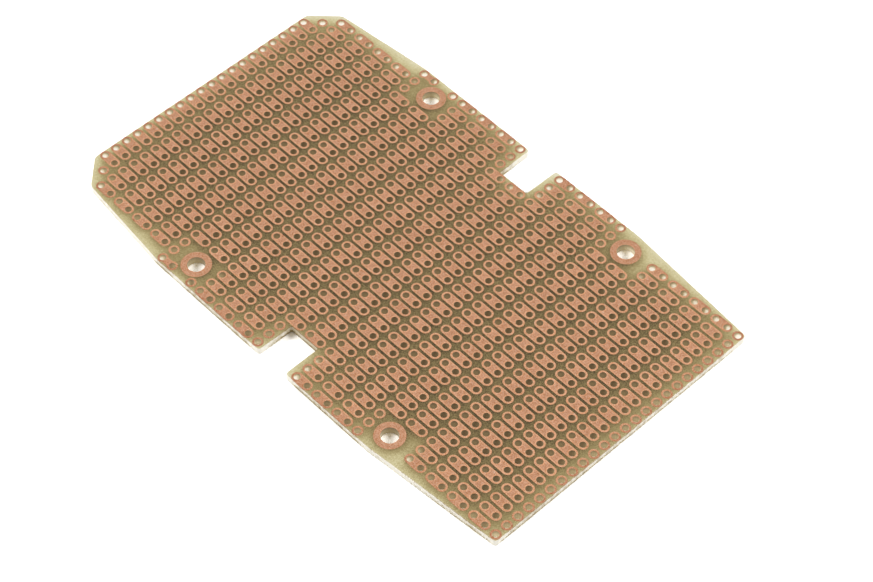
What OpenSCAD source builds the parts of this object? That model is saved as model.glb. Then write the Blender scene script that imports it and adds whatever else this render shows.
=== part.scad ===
// Prototype board: a flat insulating laminate with a grid of drilled holes and
// etched copper islands on its upper face, two holes to an island.
// X runs along the board with the chamfered end at -X, Z is up, and the
// laminate's underside lies at Z = 0 with the origin below its middle.

/* [Hole grid] */
// Holes along the board
columns = 43; // [34:1:60]
// Holes across the board
rows = 26; // [18:1:40]
// Distance between neighbouring holes
pitch = 2.54; // [2.5:0.01:3]
// Diameter of a component hole
hole_d = 1.25; // [0.8:0.05:1.3]
// Distance from the outermost hole centres to the board's edge
edge_margin = 1.016; // [1.016:0.001:3]

/* [Board] */
// Thickness of the laminate
board_thickness = 1.6; // [0.8:0.1:3.2]
// Size of the 45 degree corners at the chamfered end
chamfer = 4.85; // [2:0.05:8]
// How far each side is drawn in where the chamfers begin
chamfered_end_drop = 2.1; // [0.5:0.05:4]
// Length of the drawn-in stretch at the chamfered end
chamfered_end_taper = 25.25; // [12:0.05:30]
// How far each side is drawn in at the square end
square_end_drop = 2.55; // [0.5:0.05:4]
// Length of the drawn-in stretch at the square end
square_end_taper = 28.05; // [12:0.05:30]

/* [Side notches] */
// Length of each notch along the board
notch_length = 6.85; // [3:0.05:12]
// Depth of each notch from the board's side
notch_depth = 7.57; // [3:0.05:12]
// Radius in the notch's inner corners
notch_corner_r = 0.4; // [0.1:0.05:1.4]
// Place of the notches and of the fixing holes' middle along X
middle_x = 2.28; // [-4:0.01:4]

/* [Fixing holes] */
// Distance between the fixing holes along the board
fixing_spacing = 50; // [36:0.5:52]
// Distance from the fixing holes to the board's side
fixing_inset = 4.266; // [4:0.001:8]
// Diameter of a fixing hole
fixing_hole_d = 3.25; // [2:0.05:4.2]

/* [Copper] */
// Thickness of the copper
copper_thickness = 0.035; // [0.018:0.001:0.105]
// Diameter of a pad, and the width of an island
pad_d = 2; // [1.5:0.01:2.03]
// Width of the waist in the first island of the outermost rows
waist_width = 1.4; // [0.6:0.05:1.5]
// Outer diameter of the copper ring round a fixing hole
ring_d = 5.6; // [4.8:0.05:6.4]
// Least gap between a copper ring and a pad
ring_gap = 0.1; // [0.05:0.01:1]

/* [Hidden] */
$fn = 48;
holes_to_island = 2;
board_length = (columns - 1) * pitch + 2 * edge_margin;
board_width = (rows - 1) * pitch + 2 * edge_margin;
fixing_spacing_across = board_width - 2 * fixing_inset;
chamfer_start_y = board_width / 2 - chamfered_end_drop;
round_off = 0.001; // slack for comparing worked-out distances

// The fixing holes: a name, then the side of the middle along X and along Y.
fixings = [
    ["front_left", -1, -1],
    ["rear_left", -1, 1],
    ["front_right", 1, -1],
    ["rear_right", 1, 1]
];
fixing_keys = [for (k = [0 : len(fixings) - 1]) k];

function row_name(j) = str("pad_row_", j < 9 ? "0" : "", j + 1);
function ring_name(k) = str("ring_", fixings[k][0]);

// The board's outline without its notches, half of it on the +Y side.
half_outline = [
    [-board_length / 2, chamfer_start_y - chamfer],
    [-board_length / 2 + chamfer, chamfer_start_y],
    [-board_length / 2 + chamfered_end_taper, board_width / 2],
    [board_length / 2 - square_end_taper, board_width / 2],
    [board_length / 2, board_width / 2 - square_end_drop]
];

function mirrored(points) = [for (k = [len(points) - 1 : -1 : 0]) [points[k].x, -points[k].y]];

// Places of the hole in column i and row j, and of fixing hole k.
function hole_at(i, j) = [(i - (columns - 1) / 2) * pitch, ((rows - 1) / 2 - j) * pitch];
function fixing_at(k) = [
    middle_x + fixings[k][1] * fixing_spacing / 2,
    fixings[k][2] * fixing_spacing_across / 2
];

// Distance of point p from the line through a and b, positive on its right.
function side_of(p, a, b) = cross(p - a, b - a) / norm(b - a);

// Distance of a hole centre from the nearest side, taper, chamfer or end.
function outline_gap(p) = min(concat(
    [p.x + board_length / 2, board_length / 2 - p.x],
    [for (k = [0 : len(half_outline) - 2])
        side_of([p.x, abs(p.y)], half_outline[k], half_outline[k + 1])]
));

// Distance of a hole centre from the nearer notch, below zero inside it.
function notch_gap(p) = max(
    abs(p.x - middle_x) - notch_length / 2,
    board_width / 2 - notch_depth - abs(p.y)
);

// Distance of a hole centre from the nearest fixing hole's centre.
function fixing_gap(p) = min([for (k = fixing_keys) norm(p - fixing_at(k))]);

// A place in the grid is drilled only where its pad has room for itself.
function has_hole(i, j) =
    let (p = hole_at(i, j))
    i >= 0 && i < columns
    && min(outline_gap(p), notch_gap(p)) > edge_margin - round_off
    && fixing_gap(p) > (ring_d + pad_d) / 2 + ring_gap;

// Is the hole in column i joined by copper to the next one in its row?
function is_joined(i, j) =
    i % holes_to_island < holes_to_island - 1
    && has_hole(i, j)
    && has_hole(i + 1, j);

function columns_of(j) = [for (i = [0 : columns - 1]) if (has_hole(i, j)) i];

// Width of the copper that joins two holes: the first island of the two
// outermost rows passes close to a ring, so it is drawn in to a waist.
function joint_width(i, j) =
    (j == 0 || j == rows - 1) && i == columns_of(j)[0] ? waist_width : pad_d;

module row_holes(j) {
    for (i = columns_of(j))
        translate(hole_at(i, j))
            circle(d = hole_d);
}

module notch() {
    translate([-notch_length / 2, notch_corner_r])
        square([notch_length, notch_depth]);
    translate([notch_corner_r - notch_length / 2, 0])
        square([notch_length - 2 * notch_corner_r, notch_depth]);
    for (side = [-1, 1])
        translate([side * (notch_length / 2 - notch_corner_r), notch_corner_r])
            circle(r = notch_corner_r);
}

module laminate() {
    color("#d3cfa0")
        linear_extrude(board_thickness)
            difference() {
                polygon(concat(half_outline, mirrored(half_outline)));
                for (side = [0, 1])
                    mirror([0, side])
                        translate([middle_x, board_width / 2 - notch_depth])
                            notch();
                for (k = fixing_keys)
                    translate(fixing_at(k))
                        circle(d = fixing_hole_d);
                for (j = [0 : rows - 1])
                    row_holes(j);
            }
}

module pad_row(j) {
    color("#c89574")
        translate([0, 0, board_thickness])
            linear_extrude(copper_thickness)
                difference() {
                    for (i = columns_of(j)) {
                        translate(hole_at(i, j))
                            circle(d = pad_d);
                        if (is_joined(i, j))
                            translate(hole_at(i, j) - [0, joint_width(i, j) / 2])
                                square([pitch, joint_width(i, j)]);
                    }
                    row_holes(j);
                }
}

module ring(k) {
    color("#c89574")
        translate([fixing_at(k).x, fixing_at(k).y, board_thickness])
            linear_extrude(copper_thickness)
                difference() {
                    circle(d = ring_d);
                    circle(d = fixing_hole_d);
                }
}

laminate();
for (j = [0 : rows - 1]) pad_row(j);
for (k = fixing_keys) ring(k);
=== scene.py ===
import math

import bpy
import numpy as np
from mathutils import Matrix, Vector
from mathutils.geometry import delaunay_2d_cdt


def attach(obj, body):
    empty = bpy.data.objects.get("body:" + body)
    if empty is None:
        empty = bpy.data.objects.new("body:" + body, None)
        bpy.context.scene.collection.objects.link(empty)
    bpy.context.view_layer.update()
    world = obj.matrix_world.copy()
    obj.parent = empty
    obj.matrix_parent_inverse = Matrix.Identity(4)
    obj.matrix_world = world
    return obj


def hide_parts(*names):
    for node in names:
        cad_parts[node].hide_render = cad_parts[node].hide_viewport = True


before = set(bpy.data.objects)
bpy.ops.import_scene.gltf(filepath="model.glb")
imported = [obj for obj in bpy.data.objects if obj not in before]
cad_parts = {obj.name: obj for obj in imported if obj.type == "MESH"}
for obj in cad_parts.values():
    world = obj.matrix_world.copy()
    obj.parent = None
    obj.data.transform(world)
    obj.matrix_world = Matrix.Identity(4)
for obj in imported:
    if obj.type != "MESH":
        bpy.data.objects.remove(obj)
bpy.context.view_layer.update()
mm = 0.001

# The board's sizes in millimetres, as the part's source has them.
board = {
    "columns": 43,
    "rows": 26,
    "pitch": 2.54,
    "holeRadius": 0.625,
    "edgeMargin": 1.016,
    "thickness": 1.6,
    "chamfer": 4.85,
    "chamferedEndDrop": 2.1,
    "chamferedEndTaper": 25.25,
    "squareEndDrop": 2.55,
    "squareEndTaper": 28.05,
    "notchLength": 6.85,
    "notchDepth": 7.57,
    "notchCornerRadius": 0.4,
    "middleX": 2.28,
    "fixingSpacing": 50.0,
    "fixingInset": 4.266,
    "fixingHoleRadius": 1.625,
    "copperThickness": 0.035,
    "padRadius": 1.0,
    "waistWidth": 1.4,
    "ringRadius": 2.8,
    "ringGap": 0.1,
    "roundOff": 0.001,      # slack for comparing worked-out distances
}
pitch = board["pitch"]
boardLength = (board["columns"] - 1) * pitch + 2 * board["edgeMargin"]
boardWidth = (board["rows"] - 1) * pitch + 2 * board["edgeMargin"]
top = board["thickness"]


# Turns an sRGB hex colour into linear RGBA: v / 12.92 below 0.04045, ((v + 0.055) / 1.055) ^ 2.4 above.
def fromHex(code):
    values = np.array([int(code[k:k + 2], 16) for k in (0, 2, 4)]) / 255
    linear = np.where(values <= 0.04045, values / 12.92, ((values + 0.055) / 1.055) ** 2.4)
    return (*(float(v) for v in linear), 1.0)


# Adds a node, sets its properties, and links or fills the sockets named in inputs.
def addNode(tree, kind, inputs=None, **settings):
    node = tree.nodes.new(kind)
    for name, value in settings.items():
        setattr(node, name, value)
    for key, value in (inputs or {}).items():
        if isinstance(value, bpy.types.NodeSocket):
            tree.links.new(value, node.inputs[key])
        elif isinstance(value, bpy.types.Node):
            tree.links.new(value.outputs[0], node.inputs[key])
        else:
            node.inputs[key].default_value = value
    return node


# Makes an empty node material and returns it with its tree.
def newMaterial(name):
    material = bpy.data.materials.new(name)
    material.use_nodes = True
    tree = material.node_tree
    tree.nodes.clear()
    return material, tree


# Fills a colour ramp from pairs of position and hex colour.
def fillRamp(node, stops):
    elements = node.color_ramp.elements
    while len(elements) < len(stops):
        elements.new(0.5)
    for element, (position, code) in zip(elements, stops):
        element.position = position
        element.color = fromHex(code)
    return node


# Half of the outline on the +Y side, without the notch, from the left end to the right.
halfOutline = np.array([
    (-boardLength / 2, boardWidth / 2 - board["chamferedEndDrop"] - board["chamfer"]),
    (-boardLength / 2 + board["chamfer"], boardWidth / 2 - board["chamferedEndDrop"]),
    (-boardLength / 2 + board["chamferedEndTaper"], boardWidth / 2),
    (boardLength / 2 - board["squareEndTaper"], boardWidth / 2),
    (boardLength / 2, boardWidth / 2 - board["squareEndDrop"]),
])
# The fixing holes' centres by name.
fixings = {
    f"{'front' if sideY < 0 else 'rear'}_{'left' if sideX < 0 else 'right'}": (
        board["middleX"] + sideX * board["fixingSpacing"] / 2,
        sideY * (boardWidth / 2 - board["fixingInset"]),
    )
    for sideX in (-1, 1)
    for sideY in (-1, 1)
}


# Distance from the nearest side, end or notch, positive on the board:
# the least of the distances to each edge's line and to the notch's box.
def edgeGap(x, y):
    gap = np.minimum(x + boardLength / 2, boardLength / 2 - x)
    for (ax, ay), (bx, by) in zip(halfOutline[:-1], halfOutline[1:]):
        line = ((x - ax) * (by - ay) - (np.abs(y) - ay) * (bx - ax)) / math.hypot(bx - ax, by - ay)
        gap = np.minimum(gap, line)
    notch = np.maximum(
        np.abs(x - board["middleX"]) - board["notchLength"] / 2,
        boardWidth / 2 - board["notchDepth"] - np.abs(y),
    )
    return np.minimum(gap, notch)


# Distance from the nearest fixing hole's centre.
def fixingGap(x, y):
    return np.min([np.hypot(x - fx, y - fy) for fx, fy in fixings.values()], axis=0)


# Column and row of the nearest place in the hole grid.
def nearestPlace(x, y):
    i = np.rint(x / pitch + (board["columns"] - 1) / 2).astype(int)
    j = np.rint((board["rows"] - 1) / 2 - y / pitch).astype(int)
    return np.clip(i, 0, board["columns"] - 1), np.clip(j, 0, board["rows"] - 1)


column, row = np.meshgrid(np.arange(board["columns"]), np.arange(board["rows"]))
holeX = (column - (board["columns"] - 1) / 2) * pitch
holeY = ((board["rows"] - 1) / 2 - row) * pitch
# A place in the grid is drilled only where its pad has room.
drilled = (edgeGap(holeX, holeY) > board["edgeMargin"] - board["roundOff"]) & (
    fixingGap(holeX, holeY) > board["ringRadius"] + board["padRadius"] + board["ringGap"]
)
# Is a hole joined to the next one in its row? Islands begin at every second column.
joined = np.zeros_like(drilled)
joined[:, :-1] = drilled[:, :-1] & drilled[:, 1:] & (column[:, :-1] % 2 == 0)
# The first island of the two outermost rows has a waist.
waisted = np.zeros_like(drilled)
for outerRow in (0, board["rows"] - 1):
    waisted[outerRow, np.flatnonzero(drilled[outerRow])[0]] = True
print(f"board: {drilled.sum()} holes, {joined.sum()} islands of two holes")

# Painted light: the laminate's colours carry the light that would enter it where it is bare and at its cut
# edge and spread inside it. What reaches a place is the bare area and the open surroundings, each spread by
# exp(-distance / reach) and weighted. Painted shade: copper above its way through a drilled wall keeps that
# light back; there, the light that the bare area lets in and the light from outside are each multiplied by
# share + gain * openness.
glow = {
    "cell": pitch / 20,             # mm between the map's points
    "margin": 10.0,                 # mm that the map reaches past the board
    "bare": (0.6, 0.2),             # reach in mm, weight
    "outsideNear": (1.0, 0.57),
    "outsideFar": (2.5, 0.36),
    "open": (1.5, 2.2),             # a wide bare place takes in more: its spread to the power below
    "openPower": 4,
    "slope": (-0.05, 0.05),         # painted light from outside is a little stronger at the left end and the rear side
    "lean": (-0.36, 0.345),         # mm: the upper face shows the painted glow of the place this far to the rear left
    "behindWall": 0.9,              # mm behind a hole's wall from which its painted light comes
    "behindRing": 1.6,              # the same for a fixing hole, which has a wide ring round it
    "cover": 0.5,                   # mm over which copper counts against openness
    "wallHeld": (0.69, 0.6),        # share and gain of the painted light that the bare area lets in
    "wallOutside": (0.16, 1.0),     # share and gain of the painted light from outside
    "wallNear": 0.35,               # weights of the near and the far painted light from outside in a wall
    "wallFar": 0.75,
    "underside": (0.34, 0.2),       # painted shade on the bare underside: a plain level, and what openness above it adds
}


# Spreads a map by a kernel exp(-r / reach) of sum 1, through the Fourier transform.
def spread(field, reach):
    ky, kx = (np.minimum(np.arange(n), n - np.arange(n)) * glow["cell"] for n in field.shape)
    kernel = np.exp(-np.hypot(kx[None, :], ky[:, None]) / reach)
    kernel /= kernel.sum()
    return np.fft.irfft2(np.fft.rfft2(field) * np.fft.rfft2(kernel), s=field.shape)


mapX = np.arange(-boardLength / 2 - glow["margin"], boardLength / 2 + glow["margin"], glow["cell"])
mapY = np.arange(-boardWidth / 2 - glow["margin"], boardWidth / 2 + glow["margin"], glow["cell"])


# Where copper covers the board: a disc round each hole, a bar towards its partner, and the rings.
def coveredMap(x, y):
    i, j = nearestPlace(x, y)
    fromHoleX, fromHoleY = x - holeX[j, i], y - holeY[j, i]
    partner = np.where(joined[j, i], 1, 0) - np.where((i % 2 == 1) & joined[j, i - 1], 1, 0)
    inPad = np.hypot(fromHoleX, fromHoleY) < board["padRadius"]
    inJoint = (fromHoleX * partner > 0) & (np.abs(fromHoleY) < board["padRadius"])
    return (drilled[j, i] & (inPad | inJoint)) | (fixingGap(x, y) < board["ringRadius"])


gridX, gridY = np.meshgrid(mapX, mapY)
covered = coveredMap(gridX, gridY)
onBoard = edgeGap(gridX, gridY) > 0
bare = (onBoard & ~covered).astype(float)
# The surroundings as a source of painted light, weighted by
# 1 + slope x * x / half length + slope y * y / half width.
outside = ~onBoard * (
    1 + glow["slope"][0] * 2 * gridX / boardLength + glow["slope"][1] * 2 * gridY / boardWidth
)
lightSources = {"bare": bare, "outsideNear": outside, "outsideFar": outside}
light = {name: spread(field, glow[name][0]) for name, field in lightSources.items()}
light["open"] = spread(bare, glow["open"][0]) ** glow["openPower"]
glowMap = sum(glow[name][1] * field for name, field in light.items())
openness = spread(1 - covered, glow["cover"])
heldLight = glow["bare"][1] * light["bare"] + glow["open"][1] * light["open"]
outsideLight = glow["wallNear"] * light["outsideNear"] + glow["wallFar"] * light["outsideFar"]
wallMap = heldLight * (glow["wallHeld"][0] + glow["wallHeld"][1] * openness)
wallMap += outsideLight * (glow["wallOutside"][0] + glow["wallOutside"][1] * openness)


# Reads a map at points in millimetres: bilinear, by the four cells round each point.
def readMap(field, x, y):
    u = np.clip((x - mapX[0]) / glow["cell"], 0, len(mapX) - 1.001)
    v = np.clip((y - mapY[0]) / glow["cell"], 0, len(mapY) - 1.001)
    i, j = u.astype(int), v.astype(int)
    fu, fv = u - i, v - j
    low = field[j, i] * (1 - fu) + field[j, i + 1] * fu
    high = field[j + 1, i] * (1 - fu) + field[j + 1, i + 1] * fu
    return low * (1 - fv) + high * fv


# The painted glow that the upper face shows, read at the place shifted by the lean.
def topGlow(x, y):
    return readMap(glowMap, x + glow["lean"][0], y + glow["lean"][1])


print(f"glow: {glowMap[onBoard].min():.3f} to {glowMap[onBoard].max():.3f}")


# Makes a mesh object from points in millimetres, faces of any corner counts, and values at the points.
def newPiece(name, points, faces, materials, attributes=None):
    mesh = bpy.data.meshes.new(name)
    mesh.from_pydata((points * mm).tolist(), [], faces)
    for key, values in (attributes or {}).items():
        single = values.ndim == 1
        data = mesh.attributes.new(key, "FLOAT" if single else "FLOAT_VECTOR", "POINT").data
        data.foreach_set("value" if single else "vector", values.astype(np.float32).ravel())
    for material in materials:
        mesh.materials.append(material)
    mesh.validate()
    mesh.update()
    piece = bpy.data.objects.new(name, mesh)
    bpy.context.scene.collection.objects.link(piece)
    return piece


# Points of a circle; a circle drawn with few corners is made wider to keep its area:
# radius * sqrt(2 pi / (n sin(2 pi / n))).
def circleLoop(x, y, radius, corners):
    turn = np.arange(corners) * 2 * np.pi / corners
    wide = radius * math.sqrt(2 * math.pi / (corners * math.sin(2 * math.pi / corners)))
    return np.stack([x + wide * np.cos(turn), y + wide * np.sin(turn)], -1)


laminateLook = {
    "holeCorners": 12,
    "fixingCorners": 48,
    "notchCornerPoints": 6,
    "topStep": pitch / 6,           # between the grid points that carry the glow on the upper face
    "backStep": pitch / 2,          # the same on the underside
    "clearOfEdge": 0.3,             # mm from those points to the cut edge or a fixing hole, at least
    "clearOfHole": 0.14,            # mm from those points to a component hole, at least
    "edgeStep": 0.6,                # mm between points along the cut edge
    "lip": 0.03,                    # mm that the cut edge's corners are broken back
    "lipWander": (0.5, 1.2, 3),     # share of the lip, points that it is smoothed over, seed
    "ragged": 0.02,                 # mm that the cut edge wanders
    "raggedWander": (1.0, 11),      # points that it is smoothed over, seed of the first level
    # the cut edge's profile from the top face down: height in mm and how far it stands out
    "profile": [(1.575, 0.0), (0.9, 0.0), (0.5, -0.01), (0.25, -0.02), (0.03, -0.02)],
}


# The outline as one loop of points: straight edges cut into equal steps, and the notches' inner
# corners as quarter circles. It runs clockwise along the +Y side and back along the -Y side.
def outlineLoop():
    radius, depth, half = board["notchCornerRadius"], board["notchDepth"], board["notchLength"] / 2
    floorY, middle = boardWidth / 2 - depth, board["middleX"]
    turn = np.radians(np.linspace(0, 90, laminateLook["notchCornerPoints"]))
    leftArc = np.stack([
        middle - half + radius - radius * np.cos(turn),
        floorY + radius - radius * np.sin(turn),
    ], 1)
    rightArc = np.stack([2 * middle - leftArc[::-1, 0], leftArc[::-1, 1]], 1)
    mouth = np.array([(middle - half, boardWidth / 2), (middle + half, boardWidth / 2)])
    side = np.concatenate([halfOutline[:3], mouth[:1], leftArc, rightArc, mouth[1:], halfOutline[3:]])
    corners = np.concatenate([side, side[::-1] * (1, -1)])
    steps = []
    for a, b in zip(corners, np.roll(corners, -1, axis=0)):
        count = max(1, int(np.ceil(np.hypot(*(b - a)) / laminateLook["edgeStep"])))
        steps.append(a + (b - a) * (np.arange(count) / count)[:, None])
    loop = np.concatenate(steps)
    # worn corners: each point drawn halfway to the middle of its neighbours
    return 0.5 * loop + 0.25 * (np.roll(loop, 1, axis=0) + np.roll(loop, -1, axis=0))


# The outward direction at each point of a clockwise loop: the mean of its two edges' left normals.
def outward(loop):
    edge = np.roll(loop, -1, axis=0) - loop
    edge /= np.linalg.norm(edge, axis=1)[:, None]
    normal = np.stack([-edge[:, 1], edge[:, 0]], 1)
    mean = normal + np.roll(normal, 1, axis=0)
    mean /= np.linalg.norm(mean, axis=1)[:, None]
    return mean / np.maximum((mean * normal).sum(1), 0.5)[:, None]


# A random run along a loop, smoothed over a few points, between about -1 and 1.
def wander(count, width, seed):
    noise = np.random.default_rng(seed).normal(size=count)
    kernel = np.exp(-0.5 * (np.minimum(np.arange(count), count - np.arange(count)) / width) ** 2)
    smooth = np.fft.irfft(np.fft.rfft(noise) * np.fft.rfft(kernel), count)
    return np.clip(smooth / smooth.std() / 2, -1.2, 1.2)


# Triangulates the flat area inside the first loop and outside the others, with inner points on a grid of
# the given step. Returns the points, the triangles and, for each loop point, its number among them.
def triangulate(loops, step):
    countX, countY = int(boardLength / 2 / step), int(boardWidth / 2 / step)
    x, y = np.meshgrid(np.arange(-countX, countX + 1) * step, np.arange(-countY, countY + 1) * step)
    i, j = nearestPlace(x, y)
    room, holeRoom = laminateLook["clearOfEdge"], board["holeRadius"] + laminateLook["clearOfHole"]
    clear = (edgeGap(x, y) > room) & (fixingGap(x, y) > board["fixingHoleRadius"] + room)
    clear &= ~drilled[j, i] | (np.hypot(x - holeX[j, i], y - holeY[j, i]) > holeRoom)
    points = np.concatenate([*loops, np.stack([x[clear], y[clear]], 1)])
    starts = np.cumsum([0] + [len(loop) for loop in loops])
    edges = np.concatenate([
        np.stack([np.arange(a, b), np.roll(np.arange(a, b), -1)], 1) for a, b in zip(starts[:-1], starts[1:])
    ])
    # the 1 asks for the triangles inside the first loop, and points within 1e-7 mm count as one
    found = delaunay_2d_cdt([Vector(p) for p in points], edges.tolist(), [], 1, 1e-7)
    flat = np.array([tuple(v) for v in found[0]])
    triangles = np.array([tuple(f) for f in found[2]])
    source = np.array([v[0] if v else -1 for v in found[3]])
    # a triangle with its three corners on one hole's loop lies in the hole
    owner = np.full(len(points), -1)
    owner[:starts[-1]] = np.repeat(np.arange(len(loops)), np.diff(starts))
    held = owner[source][triangles]
    triangles = triangles[(held[:, 0] < 1) | (held != held[:, :1]).any(1)]
    a, b, c = (flat[triangles[:, k]] for k in range(3))
    turned = (b - a)[:, 0] * (c - a)[:, 1] - (b - a)[:, 1] * (c - a)[:, 0] < 0
    triangles[turned] = triangles[turned][:, ::-1]
    number = np.full(len(points), -1)
    number[source[source >= 0]] = np.flatnonzero(source >= 0)
    return flat, triangles, [number[a:b] for a, b in zip(starts[:-1], starts[1:])]


# Quads between two loops of point numbers, the upper one first.
def strip(upper, lower):
    return np.stack([upper, np.roll(upper, -1), np.roll(lower, -1), lower], 1)


# The laminate: a fine triangulation for the upper face, a coarse one for the underside, and strips of
# quads down the hole walls and the cut edge. Its points carry painted light: the glow that a face shows,
# and the light that reaches a wall from inside.
def makeLaminate(materials):
    outline = outlineLoop()
    count = len(outline)
    away = outward(outline)
    share, width, seed = laminateLook["lipWander"]
    rim = outline - away * (laminateLook["lip"] * (1 + share * wander(count, width, seed)))[:, None]
    # each hole: place, radius, corners, how far behind its wall the painted light comes from, and its map
    small = (board["holeRadius"], laminateLook["holeCorners"], glow["behindWall"], wallMap)
    large = (board["fixingHoleRadius"], laminateLook["fixingCorners"], glow["behindRing"], glowMap)
    holes = [(x, y, *small) for x, y in zip(holeX[drilled], holeY[drilled])]
    holes += [(x, y, *large) for x, y in fixings.values()]
    loops = [rim] + [circleLoop(*hole[:4]) for hole in holes]
    upper, upperFaces, upperLoops = triangulate(loops, laminateLook["topStep"])
    lower, lowerFaces, lowerLoops = triangulate(loops, laminateLook["backStep"])
    lowerLoops = [loop + len(upper) for loop in lowerLoops]

    first = len(upper) + len(lower)
    width, seed = laminateLook["raggedWander"]
    walls = [
        outline + away * (out + laminateLook["ragged"] * wander(count, width, seed + k))[:, None]
        for k, (height, out) in enumerate(laminateLook["profile"])
    ]
    heights = [np.full(count, height) for height, out in laminateLook["profile"]]
    xy = np.concatenate([upper, lower, *walls])
    z = np.concatenate([np.full(len(upper), top), np.zeros(len(lower)), *heights])
    # painted glow on the faces
    paintedGlow = topGlow(xy[:, 0], xy[:, 1])
    # painted shade on the underside: darker where copper lies above
    plain, gain = glow["underside"]
    paintedGlow[len(upper):first] = plain + gain * readMap(openness, lower[:, 0], lower[:, 1])
    # painted light that reaches the walls and the cut edge from inside
    paintedInnerLight = readMap(glowMap, xy[:, 0], xy[:, 1])
    for (x, y, radius, corners, behind, field), high, low in zip(holes, upperLoops[1:], lowerLoops[1:]):
        for loop in (high, low):
            source = (x, y) + (xy[loop] - (x, y)) * (1 + behind / radius)
            paintedInnerLight[loop] = readMap(field, source[:, 0], source[:, 1])

    between = [first + k * count + np.arange(count) for k in range(len(walls))]
    levels = [upperLoops[0], *between, lowerLoops[0]]
    drillQuads = np.concatenate([strip(a, b) for a, b in zip(upperLoops[1:], lowerLoops[1:])])
    edgeQuads = np.concatenate([strip(a, b) for a, b in zip(levels[:-1], levels[1:])])
    flatFaces = np.concatenate([upperFaces, lowerFaces[:, ::-1] + len(upper)])
    piece = newPiece(
        "glass_epoxy_laminate",
        np.column_stack([xy, z]),
        flatFaces.tolist() + drillQuads.tolist() + edgeQuads.tolist(),
        materials,
        {"paintedGlow": paintedGlow, "paintedInnerLight": paintedInnerLight},
    )
    kinds = np.repeat([0, 1, 2], [len(flatFaces), len(drillQuads), len(edgeQuads)])
    piece.data.polygons.foreach_set("material_index", kinds.astype(np.int32))
    piece.data.update()
    return piece


waveLength = 0.314              # length of one band of a wave texture at scale 1
glassEpoxyLook = {
    "warp": 0.6,                # mm from thread to thread one way, and the other way
    "weft": 0.8,
    "relief": 0.02,             # mm that the cloth stands up under the resin
    "cloud": 1.1,               # mm across the resin's faint clouds
    "cloudShare": (0.97, 1.03),
    "grain": 0.17,              # mm; the glass fibres are finer, and drawn as coarse as they need to show
    "grainDepth": 0.1,
    "roughness": 0.42,
    # painted light and shade: colour by how much light the laminate holds, from shade between the copper to
    # the bare edge
    "hues": [
        (0.05, "413622"), (0.09, "5b4c2f"), (0.104, "605134"), (0.136, "6f5f3e"), (0.155, "746542"),
        (0.183, "7f6e49"), (0.207, "86754e"), (0.262, "948459"), (0.341, "a29265"), (0.507, "c8bc8d"),
        (0.62, "d8cfa6"), (0.75, "e6e1c6"),
    ],
}


# Glass-epoxy: woven glass in clear yellowish resin. Its translucency is painted light: the colour is dark
# olive between the copper, where little light gets in, and pale straw near its bare edges.
def laminateMaterial():
    look = glassEpoxyLook
    material, tree = newMaterial("glassEpoxyLaminate")
    place = addNode(tree, "ShaderNodeTexCoord").outputs["Object"]
    paintedGlow = addNode(tree, "ShaderNodeAttribute", attribute_name="paintedGlow").outputs["Fac"]
    # plain glass cloth, its threads crossing at a right angle
    warp = addNode(tree, "ShaderNodeTexWave", {
        "Vector": place, "Scale": waveLength / (look["warp"] * mm), "Distortion": 1.2, "Detail": 1.0,
    }, bands_direction="X")
    weft = addNode(tree, "ShaderNodeTexWave", {
        "Vector": place, "Scale": waveLength / (look["weft"] * mm), "Distortion": 1.2, "Detail": 1.0,
    }, bands_direction="Y")
    cloth = addNode(tree, "ShaderNodeMath", {0: warp.outputs["Fac"], 1: weft.outputs["Fac"]}, operation="ADD")
    cloud = addNode(tree, "ShaderNodeTexNoise", {
        "Vector": place, "Scale": 1 / (look["cloud"] * mm), "Detail": 3.0,
    })
    grain = addNode(tree, "ShaderNodeTexNoise", {
        "Vector": place, "Scale": 1 / (look["grain"] * mm), "Detail": 1.0,
    })
    least, most = look["cloudShare"]
    clouded = addNode(tree, "ShaderNodeMapRange", {
        "Value": cloud.outputs["Fac"], "From Min": 0.3, "From Max": 0.7, "To Min": least, "To Max": most,
    })
    woven = addNode(tree, "ShaderNodeMapRange", {
        "Value": cloth, "From Min": 0.0, "From Max": 2.0, "To Min": least, "To Max": most,
    })
    grained = addNode(tree, "ShaderNodeMapRange", {
        "Value": grain.outputs["Fac"], "From Min": 0.25, "From Max": 0.75,
        "To Min": -look["grainDepth"], "To Max": look["grainDepth"],
    })
    # painted light and shade: the painted glow, clouded, woven and grained, picks the base colour from the
    # hues
    shade = addNode(tree, "ShaderNodeMath", {0: clouded, 1: woven}, operation="MULTIPLY")
    shade = addNode(tree, "ShaderNodeMath", {0: shade, 1: paintedGlow, 2: grained}, operation="MULTIPLY_ADD")
    ramp = fillRamp(addNode(tree, "ShaderNodeValToRGB", {"Fac": shade}), look["hues"])
    bump = addNode(tree, "ShaderNodeBump", {
        "Height": cloth, "Strength": 0.06, "Distance": look["relief"] * mm,
    })
    surface = addNode(tree, "ShaderNodeBsdfPrincipled", {
        "Base Color": ramp.outputs["Color"], "Roughness": look["roughness"], "Specular IOR Level": 0.25,
        "Normal": bump,
    })
    addNode(tree, "ShaderNodeOutputMaterial", {"Surface": surface})
    return material


drilledLook = {
    "shadeAtTop": 0.43,         # painted shade: share of the painted light that shows just under the copper
    "shadeBelow": 0.86,         # the same at the next height, and lower
    "height": 0.7,              # mm
    "grain": 0.2,               # mm; the cut fibre ends are finer, and drawn as coarse as they need to show
    "grainShare": (0.86, 1.14),
    "ground": "6a6550",
    "roughness": 0.35,
    # painted glow the wall gives off, by the painted light that reaches it from inside: greyer than the upper
    # face, then cream
    "hues": [
        (0.03, "423524"), (0.05, "4f402c"), (0.09, "5f4e38"), (0.17, "786749"), (0.24, "897858"),
        (0.32, "998864"), (0.416, "c4b598"), (0.5, "ddd3bd"), (0.6, "ece5d9"), (0.78, "f1ece3"),
        (1.0, "fbf9f4"),
    ],
}
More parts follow.
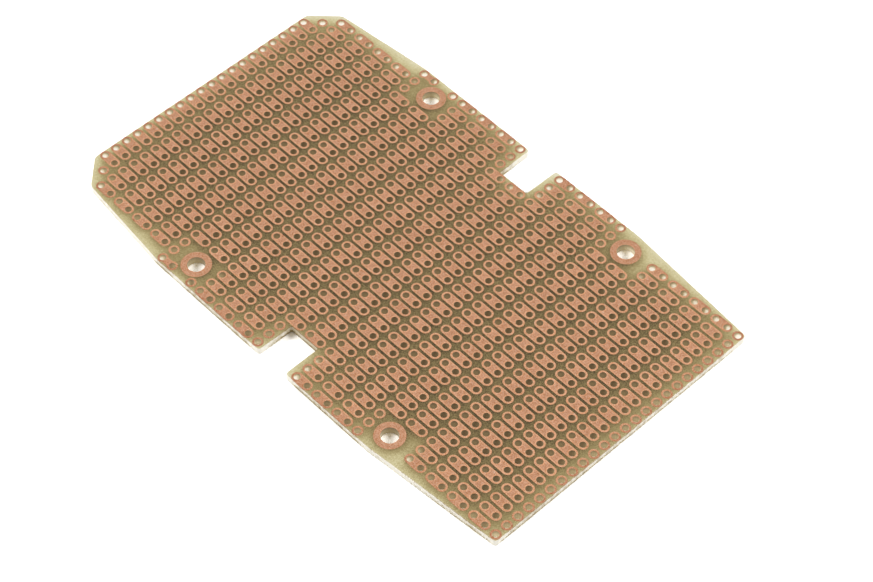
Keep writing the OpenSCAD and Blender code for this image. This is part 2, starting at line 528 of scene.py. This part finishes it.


# Drilled glass-epoxy: ground fibre ends in resin, satin. Painted shade makes the wall dark under the copper
# and lighter further down, and a painted glow makes it give off light by itself where the laminate would
# bring light to it.
def drilledMaterial():
    look = drilledLook
    material, tree = newMaterial("drilledGlassEpoxy")
    place = addNode(tree, "ShaderNodeTexCoord").outputs["Object"]
    paintedInnerLight = addNode(tree, "ShaderNodeAttribute", attribute_name="paintedInnerLight").outputs["Fac"]
    height = addNode(tree, "ShaderNodeSeparateXYZ", {0: place}).outputs["Z"]
    # painted shade: darker towards the top of the wall, under the copper
    lower = addNode(tree, "ShaderNodeMapRange", {
        "Value": height, "From Min": look["height"] * mm, "From Max": top * mm,
        "To Min": look["shadeBelow"], "To Max": look["shadeAtTop"],
    }, interpolation_type="SMOOTHSTEP")
    grain = addNode(tree, "ShaderNodeTexNoise", {
        "Vector": place, "Scale": 1 / (look["grain"] * mm), "Detail": 2.0,
    })
    grained = addNode(tree, "ShaderNodeMapRange", {
        "Value": grain.outputs["Fac"], "From Min": 0.3, "From Max": 0.7,
        "To Min": look["grainShare"][0], "To Max": look["grainShare"][1],
    })
    shade = addNode(tree, "ShaderNodeMath", {0: grained, 1: paintedInnerLight}, operation="MULTIPLY")
    shade = addNode(tree, "ShaderNodeMath", {0: shade, 1: lower}, operation="MULTIPLY")
    ramp = fillRamp(addNode(tree, "ShaderNodeValToRGB", {"Fac": shade}), look["hues"])
    # painted glow: the wall gives off the ramp's colour as light
    surface = addNode(tree, "ShaderNodeBsdfPrincipled", {
        "Base Color": fromHex(look["ground"]), "Roughness": look["roughness"], "Specular IOR Level": 0.5,
        "Emission Color": ramp.outputs["Color"], "Emission Strength": 1.0,
    })
    addNode(tree, "ShaderNodeOutputMaterial", {"Surface": surface})
    return material


cutEdgeLook = {
    "patch": 1.1,               # mm, size of the torn patches
    "patchDepth": 0.09,         # painted light that they hold back, or that clean ones pass on
    "tear": 0.4,                # mm, size of the dents in the line between the bands
    "tearReach": (-0.38, 0.42), # mm that the line moves up and down
    "streak": 0.25,             # mm, size of the white flecks
    "streakFrom": (2.0, 2.12),  # painted light and noise together at which flecks begin and are full
    "lineHeight": 1.47,         # mm above which the upper corner's dark line begins
    "reached": (0.4, 0.54),     # painted light at which the edge begins to brighten and is fully bright
    # tints of painted shade and painted light over the whole edge
    "paintedShadeTint": "c8bea8",
    "paintedLightTint": "f8f6f1",
    "fleck": "f6f3ea",
    "line": "a08562",
    "paintedGlowShare": 0.2,            # painted glow: share of its colour that it gives off as light
    # from the lower corner up, half a millimetre of height to 0.25; the darker lowest stops are the torn tan
    # band and partly painted shade where the edge meets the table
    "bands": [
        (0.02, "a39470"), (0.08, "a4946c"), (0.16, "a8986f"), (0.23, "bdb08d"), (0.32, "e0d9c6"),
        (0.44, "f3efe6"), (0.76, "f8f6ef"), (0.81, "b49a76"),
    ],
}


# Sheared glass-epoxy edge: a clean white band of broken fibre above, brightened by painted light where more
# light would reach it from inside, a torn tan band below it, partly darkened by painted shade at the table,
# and the foil's and resin's dark line at the upper corner. Part of its colour is given off as a painted glow.
def cutEdgeMaterial():
    look = cutEdgeLook
    material, tree = newMaterial("shearedGlassEpoxyEdge")
    place = addNode(tree, "ShaderNodeTexCoord").outputs["Object"]
    paintedInnerLight = addNode(tree, "ShaderNodeAttribute", attribute_name="paintedInnerLight").outputs["Fac"]
    height = addNode(tree, "ShaderNodeSeparateXYZ", {0: place}).outputs["Z"]
    # torn patches, a millimetre or two long, let less of the painted light through
    patches = addNode(tree, "ShaderNodeTexNoise", {
        "Vector": place, "Scale": 1 / (look["patch"] * mm), "Detail": 4.0,
    })
    patchy = addNode(tree, "ShaderNodeMapRange", {
        "Value": patches.outputs["Fac"], "From Min": 0.3, "From Max": 0.7,
        "To Min": -look["patchDepth"], "To Max": look["patchDepth"],
    })
    patched = addNode(tree, "ShaderNodeMath", {0: paintedInnerLight, 1: patchy}, operation="ADD")
    # the bands' borders are torn, so they run at an uneven height
    tears = addNode(tree, "ShaderNodeTexNoise", {
        "Vector": place, "Scale": 1 / (look["tear"] * mm), "Detail": 4.0,
    })
    shifted = addNode(tree, "ShaderNodeMapRange", {
        "Value": tears.outputs["Fac"], "From Min": 0.3, "From Max": 0.7,
        "To Min": look["tearReach"][0] * mm, "To Max": look["tearReach"][1] * mm,
    })
    level = addNode(tree, "ShaderNodeMath", {0: height, 1: shifted}, operation="ADD")
    level = addNode(tree, "ShaderNodeMath", {0: level, 1: 0.5 / mm}, operation="MULTIPLY")
    bands = fillRamp(addNode(tree, "ShaderNodeValToRGB", {"Fac": level}), look["bands"])
    # white flecks break the tan band and the dark line, more of them where more painted light arrives
    streaks = addNode(tree, "ShaderNodeTexNoise", {
        "Vector": place, "Scale": 1 / (look["streak"] * mm), "Detail": 2.0,
    })
    streaks = addNode(tree, "ShaderNodeMath", {0: paintedInnerLight, 1: 3.0, 2: streaks}, operation="MULTIPLY_ADD")
    broken = addNode(tree, "ShaderNodeMapRange", {
        "Value": streaks, "From Min": look["streakFrom"][0], "From Max": look["streakFrom"][1],
        "To Min": 0.0, "To Max": 0.95,
    })
    # painted light and shade: the edge's tint follows the painted light that reaches it
    reached = addNode(tree, "ShaderNodeMapRange", {
        "Value": patched, "From Min": look["reached"][0], "From Max": look["reached"][1],
        "To Min": 0.0, "To Max": 1.0,
    })
    tint = addNode(tree, "ShaderNodeMix", {
        0: reached.outputs[0], 6: fromHex(look["paintedShadeTint"]), 7: fromHex(look["paintedLightTint"]),
    }, data_type="RGBA")
    colour = addNode(tree, "ShaderNodeMix", {
        0: broken.outputs[0], 6: bands.outputs["Color"], 7: fromHex(look["fleck"]),
    }, data_type="RGBA")
    topLine = addNode(tree, "ShaderNodeMath", {
        0: height, 1: look["lineHeight"] * mm,
    }, operation="GREATER_THAN")
    topLine = addNode(tree, "ShaderNodeMath", {0: topLine, 1: broken}, operation="SUBTRACT", use_clamp=True)
    colour = addNode(tree, "ShaderNodeMix", {
        0: topLine, 6: colour.outputs[2], 7: fromHex(look["line"]),
    }, data_type="RGBA")
    # the painted light's tint is multiplied into the colour, and part of it is given off as a painted glow
    lit = addNode(tree, "ShaderNodeVectorMath", {
        0: colour.outputs[2], 1: tint.outputs[2],
    }, operation="MULTIPLY")
    surface = addNode(tree, "ShaderNodeBsdfPrincipled", {
        "Base Color": lit, "Roughness": 0.5, "Specular IOR Level": 0.3,
        "Emission Color": lit, "Emission Strength": look["paintedGlowShare"],
    })
    addNode(tree, "ShaderNodeOutputMaterial", {"Surface": surface})
    return material


laminate = makeLaminate([laminateMaterial(), drilledMaterial(), cutEdgeMaterial()])
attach(laminate, "root")
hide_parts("laminate")
print(f"laminate: {len(laminate.data.polygons)} faces")

copperLook = {
    "undercut": 0.02,           # mm that the etched edge leans in at the top
    "corners": 12,              # of a hole and of a single pad
    "ringCorners": 48,
    "roundPad": 1.01,           # how far an island's round end is widened to make up for its few corners
    "noSide": -9,               # a side so far inside that it never counts, for copper without a bar
    "edgeHighlightWidth": 0.26,           # mm, width of the painted highlight along the copper's edges
    "padHighlightShare": 1.0,         # how much of the painted edge highlight shows
    "ringHighlightShare": 0.3,
    "rim": ("cf9c79", "b38063"),        # painted edge highlight: amid the islands, and redder and darker beside bare laminate
    "besideBare": (0.22, 0.42),         # painted glow at which the second begins and is full
    "flat": ("b08264", "c59678"),
    "cloud": 0.9,               # mm across the clouds in the flat's colour and sheen
    "roughness": (0.42, 0.56),
    "tarnish": "9e6d51",
    "dulled": (0.08, 0.05),     # mean and spread of the tarnish from island to island
    "mottle": 0.2,              # mm; the etched grain is finer, and drawn as coarse as it needs to show
    "mottleDepth": 0.173,
    "mottleTint": "d4cfc7",
    "spot": "956146",
    "spotSize": 0.8,            # mm
    "spotFrom": (0.66, 0.76),   # noise at which a brown spot begins and is full
    "spotShare": 0.7,
    "dust": "d0c1b2",
    "dustSize": 0.45,           # mm
    "dustFrom": (0.8, 0.88),
    "dustShare": 0.5,
    "seed": 21,
}


# A ring as a strip closed round its hole: hole wall, top, etched edge, underside. Every loop is a circle,
# radius * (cos t, sin t). The third result gives each point's place from the hole, and the side's reach.
def ringShape(holeRadius, radius, corners):
    loops = [
        np.column_stack([circleLoop(0, 0, size, corners), np.full(corners, height)])
        for size, height in [
            (holeRadius, top),
            (holeRadius, top + board["copperThickness"]),
            (radius - copperLook["undercut"], top + board["copperThickness"]),
            (radius, top),
        ]
    ]
    numbers = np.arange(4 * corners).reshape(4, corners)
    quads = np.concatenate([strip(numbers[(k + 1) % 4], numbers[k]) for k in range(4)])
    points = np.concatenate(loops)
    fromHole = points.copy()
    fromHole[:, 2] = copperLook["noSide"]
    return points, quads.tolist(), fromHole


# An island of two pads. Half of it is a strip from the hole's circle to an outer line that starts on the
# island's middle line, runs along the straight side and goes round the pad: (reach, 0), (reach, side),
# the point where side meets the circle, then radius * (cos t, sin t). The other half is its mirror image
# and shares the points on the middle line. Two faces close the underside.
def islandShape(side):
    n, half = copperLook["corners"], copperLook["corners"] // 2
    radius, reach = board["padRadius"], pitch / 2
    meet = math.asin(side / radius)
    turn = np.linspace(meet, np.pi, half - 1)
    wide = np.full(half - 1, radius * copperLook["roundPad"])
    wide[[0, -1]] = radius
    arc = np.stack([wide * np.cos(turn), wide * np.sin(turn)], 1)
    outer = np.concatenate([[(reach, 0), (reach, side)], arc])
    outer = np.concatenate([outer, outer[-2:0:-1] * (1, -1)])
    middle = [0, 1, n - 1]
    inward = outer / np.hypot(*outer.T)[:, None] * copperLook["undercut"]
    inward[middle] = [(0, 0), (0, copperLook["undercut"]), (0, -copperLook["undercut"])]
    hole = circleLoop(0, 0, board["holeRadius"], n)
    upper = top + board["copperThickness"]
    loops = [(hole, top), (hole, upper), (outer - inward, upper), (outer, top)]
    pad = np.concatenate([np.column_stack([xy, np.full(n, z)]) for xy, z in loops])
    # the other half's points have numbers of their own, except on the middle line
    number = np.arange(4 * n)
    other = number + 4 * n
    for level in (2, 3):
        other[level * n + np.array(middle)] = level * n + np.array(middle)
    grid, otherGrid = number.reshape(4, n), other.reshape(4, n)
    quads = np.concatenate([strip(grid[k + 1], grid[k]) for k in range(2)] + [strip(grid[3], grid[2])[1:-1]])
    quads = np.concatenate([quads, other[quads][:, ::-1]]).tolist()
    # the underside's two faces, on either side of the line through the holes
    ahead, behind = np.arange(half + 1), (n - np.arange(half + 1)) % n
    for path, flip in ((ahead, 1), (behind, -1)):
        face = [*grid[0][path], *grid[3][path][:0:-1], *otherGrid[3][path][2:], *otherGrid[0][path][::-1]]
        quads.append([int(k) for k in face][::flip])
    points = np.concatenate([pad, pad * (-1, 1, 1) + (pitch, 0, 0)])
    fromHole = np.concatenate([pad, pad])
    fromHole[:, 2] = side
    used = np.unique(np.concatenate([np.ravel(face) for face in quads]))
    renumber = np.full(len(points), -1)
    renumber[used] = np.arange(len(used))
    return points[used], [[int(renumber[k]) for k in face] for face in quads], fromHole[used]


# Bare etched copper: satin, pinkish brown and finely mottled, with a painted highlight along its edges,
# redder and darker beside bare laminate, and a few brown spots and pale dust specks.
def copperMaterial(name, holeRadius, radius, highlightShare):
    look = copperLook
    material, tree = newMaterial(name)
    place = addNode(tree, "ShaderNodeTexCoord").outputs["Object"]
    local = addNode(tree, "ShaderNodeAttribute", attribute_name="fromHole").outputs["Vector"]
    paintedGlow = addNode(tree, "ShaderNodeAttribute", attribute_name="paintedGlow").outputs["Fac"]
    tarnish = addNode(tree, "ShaderNodeAttribute", attribute_name="tarnish").outputs["Fac"]
    parts = addNode(tree, "ShaderNodeSeparateXYZ", {0: local})
    flatPlace = addNode(tree, "ShaderNodeCombineXYZ", {"X": parts.outputs["X"], "Y": parts.outputs["Y"]})
    distance = addNode(tree, "ShaderNodeVectorMath", {0: flatPlace}, operation="LENGTH").outputs["Value"]
    # distance from the copper's edge: from the pad's circle or, towards the partner, from the side
    discEdge = addNode(tree, "ShaderNodeMath", {0: radius, 1: distance}, operation="SUBTRACT")
    across = addNode(tree, "ShaderNodeMath", {0: parts.outputs["Y"]}, operation="ABSOLUTE")
    sideEdge = addNode(tree, "ShaderNodeMath", {0: parts.outputs["Z"], 1: across}, operation="SUBTRACT")
    facing = addNode(tree, "ShaderNodeMath", {0: parts.outputs["X"], 1: 0.0}, operation="GREATER_THAN")
    sideEdge = addNode(tree, "ShaderNodeMath", {0: sideEdge, 1: facing}, operation="MULTIPLY")
    outerEdge = addNode(tree, "ShaderNodeMath", {0: discEdge, 1: sideEdge}, operation="MAXIMUM")
    holeEdge = addNode(tree, "ShaderNodeMath", {0: distance, 1: holeRadius}, operation="SUBTRACT")
    edge = addNode(tree, "ShaderNodeMath", {0: outerEdge, 1: holeEdge}, operation="MINIMUM")
    # painted highlight: a lighter band along the copper's edges
    rim = addNode(tree, "ShaderNodeMapRange", {
        "Value": edge, "From Min": look["edgeHighlightWidth"] * 0.45, "From Max": look["edgeHighlightWidth"] * 1.3,
        "To Min": highlightShare, "To Max": 0.0,
    }, interpolation_type="SMOOTHSTEP")
    beside = addNode(tree, "ShaderNodeMapRange", {
        "Value": paintedGlow, "From Min": look["besideBare"][0], "From Max": look["besideBare"][1],
        "To Min": 0.0, "To Max": 1.0,
    })
    highlightColour = addNode(tree, "ShaderNodeMix", {
        0: beside.outputs[0], 6: fromHex(look["rim"][0]), 7: fromHex(look["rim"][1]),
    }, data_type="RGBA")
    mottle = addNode(tree, "ShaderNodeTexNoise", {
        "Vector": place, "Scale": 1 / (look["mottle"] * mm), "Detail": 1.0,
    })
    cloud = addNode(tree, "ShaderNodeTexNoise", {
        "Vector": place, "Scale": 1 / (look["cloud"] * mm), "Detail": 3.0,
    })
    flat = addNode(tree, "ShaderNodeMix", {
        0: cloud.outputs["Fac"], 6: fromHex(look["flat"][0]), 7: fromHex(look["flat"][1]),
    }, data_type="RGBA")
    colour = addNode(tree, "ShaderNodeMix", {
        0: rim.outputs[0], 6: flat.outputs[2], 7: highlightColour.outputs[2],
    }, data_type="RGBA")
    colour = addNode(tree, "ShaderNodeMix", {
        0: tarnish, 6: colour.outputs[2], 7: fromHex(look["tarnish"]),
    }, data_type="RGBA")
    mottled = addNode(tree, "ShaderNodeMapRange", {
        "Value": mottle.outputs["Fac"], "From Min": 0.25, "From Max": 0.75,
        "To Min": -look["mottleDepth"], "To Max": look["mottleDepth"],
    })
    colour = addNode(tree, "ShaderNodeVectorMath", {
        0: mottled, 1: fromHex(look["mottleTint"])[:3], 2: colour.outputs[2],
    }, operation="MULTIPLY_ADD")
    # brown spots about half a millimetre across, more of them beside the board's edge
    spots = addNode(tree, "ShaderNodeTexNoise", {
        "Vector": place, "Scale": 1 / (look["spotSize"] * mm), "Detail": 2.0,
    })
    spots = addNode(tree, "ShaderNodeMath", {
        0: beside.outputs[0], 1: 0.06, 2: spots.outputs["Fac"],
    }, operation="MULTIPLY_ADD")
    spotted = addNode(tree, "ShaderNodeMapRange", {
        "Value": spots, "From Min": look["spotFrom"][0], "From Max": look["spotFrom"][1],
        "To Min": 0.0, "To Max": look["spotShare"],
    })
    colour = addNode(tree, "ShaderNodeMix", {
        0: spotted, 6: colour, 7: fromHex(look["spot"]),
    }, data_type="RGBA")
    dust = addNode(tree, "ShaderNodeTexNoise", {
        "Vector": place, "Scale": 1 / (look["dustSize"] * mm), "Detail": 0.0,
    })
    dusty = addNode(tree, "ShaderNodeMapRange", {
        "Value": dust.outputs["Fac"], "From Min": look["dustFrom"][0], "From Max": look["dustFrom"][1],
        "To Min": 0.0, "To Max": look["dustShare"],
    })
    colour = addNode(tree, "ShaderNodeMix", {
        0: dusty, 6: colour.outputs[2], 7: fromHex(look["dust"]),
    }, data_type="RGBA")
    rough = addNode(tree, "ShaderNodeMapRange", {
        "Value": cloud.outputs["Fac"], "From Min": 0.3, "From Max": 0.7,
        "To Min": look["roughness"][0], "To Max": look["roughness"][1],
    })
    surface = addNode(tree, "ShaderNodeBsdfPrincipled", {
        "Base Color": colour.outputs[2], "Metallic": 1.0, "Roughness": rough.outputs[0],
    })
    addNode(tree, "ShaderNodeOutputMaterial", {"Surface": surface})
    return material


padCopper = copperMaterial(
    "etchedCopper", board["holeRadius"], board["padRadius"], copperLook["padHighlightShare"]
)
ringCopper = copperMaterial(
    "etchedCopperRing", board["fixingHoleRadius"], board["ringRadius"], copperLook["ringHighlightShare"]
)
joinedShape = islandShape(board["padRadius"])
waistShape = islandShape(board["waistWidth"] / 2)
loneShape = ringShape(board["holeRadius"], board["padRadius"], copperLook["corners"])
ringLoop = ringShape(board["fixingHoleRadius"], board["ringRadius"], copperLook["ringCorners"])
chance = np.random.default_rng(copperLook["seed"])


# Makes one piece of copies of shapes, each moved by its place (x, y). kinds holds pairs of a shape and
# the places of its copies, and every copy is tarnished a little differently.
def addCopper(name, replaced, kinds, material):
    points, faces, local, dulled = [], [], [], []
    start = 0
    for (shapePoints, shapeFaces, fromHole), places in kinds:
        for x, y in places:
            points.append(shapePoints + (x, y, 0))
            faces += [[k + start for k in face] for face in shapeFaces]
            start += len(shapePoints)
            local.append(fromHole)
            dulled.append(np.full(len(shapePoints), max(0, chance.normal(*copperLook["dulled"]))))
    points = np.concatenate(points)
    piece = newPiece(name, points, faces, [material], {
        "fromHole": np.concatenate(local),
        "paintedGlow": readMap(glowMap, points[:, 0], points[:, 1]),
        "tarnish": np.concatenate(dulled),
    })
    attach(piece, "root")
    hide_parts(replaced)


for j in range(board["rows"]):
    second = np.roll(joined[j], 1)      # holes joined to the one before them
    kinds = [
        (shape, np.column_stack([holeX[j][chosen], holeY[j][chosen]]))
        for shape, chosen in [
            (joinedShape, joined[j] & ~waisted[j]),
            (waistShape, joined[j] & waisted[j]),
            (loneShape, drilled[j] & ~joined[j] & ~second),
        ]
    ]
    addCopper(f"copper_row_{j + 1:02d}", f"pad_row_{j + 1:02d}", kinds, padCopper)

for name, place in fixings.items():
    addCopper(f"copper_ring_{name}", f"ring_{name}", [(ringLoop, [place])], ringCopper)
print(f"copper: {board['rows']} rows and {len(fixings)} rings")

studio = {
    "tableSize": 4.0,       # metres
    "tableDrop": 0.05,      # mm below the board
    "tableShade": 0.86,
    "tableSeen": 0.84,      # the same as the camera sees it, counted twice
    "worldLight": 0.12,
    "worldSeen": 1.0,
    "boxSize": 0.5,         # metres
    "boxPower": 9.7,        # watts
    "boxes": {"leftSoftbox": (-0.62, -0.65, 0.72), "rightSoftbox": (0.62, 0.65, 0.72)},
}


# True for the rays that see the white surroundings as such: the camera's, and those that metal mirrors
# or glass lets through.
def seeingRay(tree):
    path = addNode(tree, "ShaderNodeLightPath")
    seeing = addNode(tree, "ShaderNodeMath", {
        0: path.outputs["Is Camera Ray"], 1: path.outputs["Is Glossy Ray"],
    }, operation="MAXIMUM")
    return addNode(tree, "ShaderNodeMath", {
        0: seeing, 1: path.outputs["Is Transmission Ray"],
    }, operation="MAXIMUM")


# A white table, plain and matt. The camera sees it as if lit almost twice over, so that it reads as
# plain white and keeps the board's faint shadow.
def tableMaterial():
    material, tree = newMaterial("whiteTable")
    plain = addNode(tree, "ShaderNodeBsdfDiffuse", {"Color": (*[studio["tableShade"]] * 3, 1)})
    shaded = addNode(tree, "ShaderNodeBsdfDiffuse", {"Color": (*[studio["tableSeen"]] * 3, 1)})
    lifted = addNode(tree, "ShaderNodeAddShader", {0: shaded, 1: shaded})
    surface = addNode(tree, "ShaderNodeMixShader", {0: seeingRay(tree), 1: plain, 2: lifted})
    addNode(tree, "ShaderNodeOutputMaterial", {"Surface": surface})
    return material


reach = studio["tableSize"] / 2 / mm
square = np.array([(-1, -1), (1, -1), (1, 1), (-1, 1)]) * reach
corners = np.column_stack([square, np.full(4, -studio["tableDrop"])])
table = newPiece("table", corners, [(0, 1, 2, 3)], [tableMaterial()])

world = bpy.data.worlds.new("softStudio")
bpy.context.scene.world = world
world.use_nodes = True
tree = world.node_tree
tree.nodes.clear()
soft = addNode(tree, "ShaderNodeBackground", {"Color": (1, 1, 1, 1), "Strength": studio["worldLight"]})
seen = addNode(tree, "ShaderNodeBackground", {"Color": (1, 1, 1, 1), "Strength": studio["worldSeen"]})
sky = addNode(tree, "ShaderNodeMixShader", {0: seeingRay(tree), 1: soft, 2: seen})
addNode(tree, "ShaderNodeOutputWorld", {"Surface": sky})


# A square softbox that faces the board's middle.
def addLamp(name, place, size, power):
    lamp = bpy.data.lights.new(name, "AREA")
    lamp.shape = "SQUARE"
    lamp.size = size
    lamp.energy = power
    holder = bpy.data.objects.new(name, lamp)
    holder.location = place
    holder.rotation_euler = (-Vector(place)).to_track_quat("-Z", "Y").to_euler()
    bpy.context.scene.collection.objects.link(holder)


for name, place in studio["boxes"].items():
    addLamp(name, place, studio["boxSize"], studio["boxPower"])
print("studio: table, world and softboxes made")

view = {
    "place": (0.203815, -0.187855, 0.352007),   # metres
    "forward": (-0.43788, 0.42158, -0.79406),
    "right": (0.68942, 0.72435, 0.00440),
    "lens": 104.163,                            # mm on a sensor of the width below
    "sensor": 36,
}
camera = bpy.data.cameras.new("camera")
camera.sensor_width = view["sensor"]
camera.lens = view["lens"]
cameraHolder = bpy.data.objects.new("camera", camera)
forward = Vector(view["forward"]).normalized()
up = Vector(view["right"]).cross(forward).normalized()
turned = Matrix((forward.cross(up), up, -forward)).transposed().to_4x4()
cameraHolder.matrix_world = Matrix.Translation(view["place"]) @ turned
bpy.context.scene.collection.objects.link(cameraHolder)
bpy.context.scene.camera = cameraHolder
bpy.context.scene.view_settings.view_transform = "Standard"

print("scene: ready")
